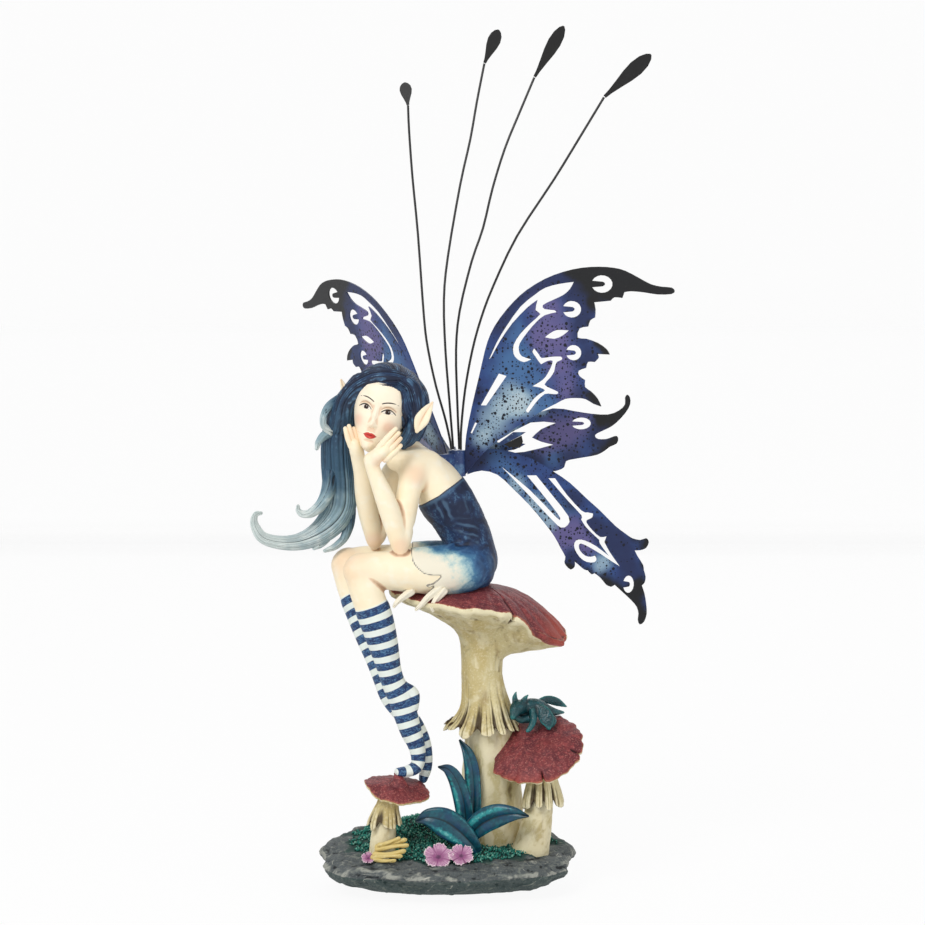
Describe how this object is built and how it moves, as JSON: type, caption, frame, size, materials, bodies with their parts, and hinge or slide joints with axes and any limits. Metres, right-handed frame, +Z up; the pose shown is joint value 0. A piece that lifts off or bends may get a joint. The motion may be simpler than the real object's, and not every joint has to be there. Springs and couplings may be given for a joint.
{
  "type": "fairy figurine",
  "caption": "Painted resin fairy sitting on a toadstool with her chin in her hands, with pierced metal wings, tall wire plumes and an oval rock base.",
  "frame": {"origin": "middle of the base's flat underside, below the middle of its width", "axes": "+Z up, +X to the right in the picture, +Y away from the viewer"},
  "size_m": [0.2096, 0.1922, 0.4294],
  "materials": {
    "painted_resin": "cold-cast resin, painted by hand and matt varnished",
    "bracket_paint": "satin light blue paint",
    "wing_paint": "airbrushed satin blue and purple with black edges and specks",
    "plume_paint": "satin black paint"
  },
  "bodies": {
    "root": {"resin_casting": "painted_resin", "wing_bracket": "bracket_paint", "near_upper_wing": "wing_paint", "far_upper_wing": "wing_paint", "near_middle_wing": "wing_paint", "far_middle_wing": "wing_paint", "near_lower_wing": "wing_paint", "far_lower_wing": "wing_paint", "plume_wire_1": "plume_paint", "plume_wire_2": "plume_paint", "plume_wire_3": "plume_paint", "plume_wire_4": "plume_paint", "plume_leaf_1": "plume_paint", "plume_leaf_2": "plume_paint", "plume_leaf_3": "plume_paint", "plume_leaf_4": "plume_paint"}
  },
  "joints": []
}
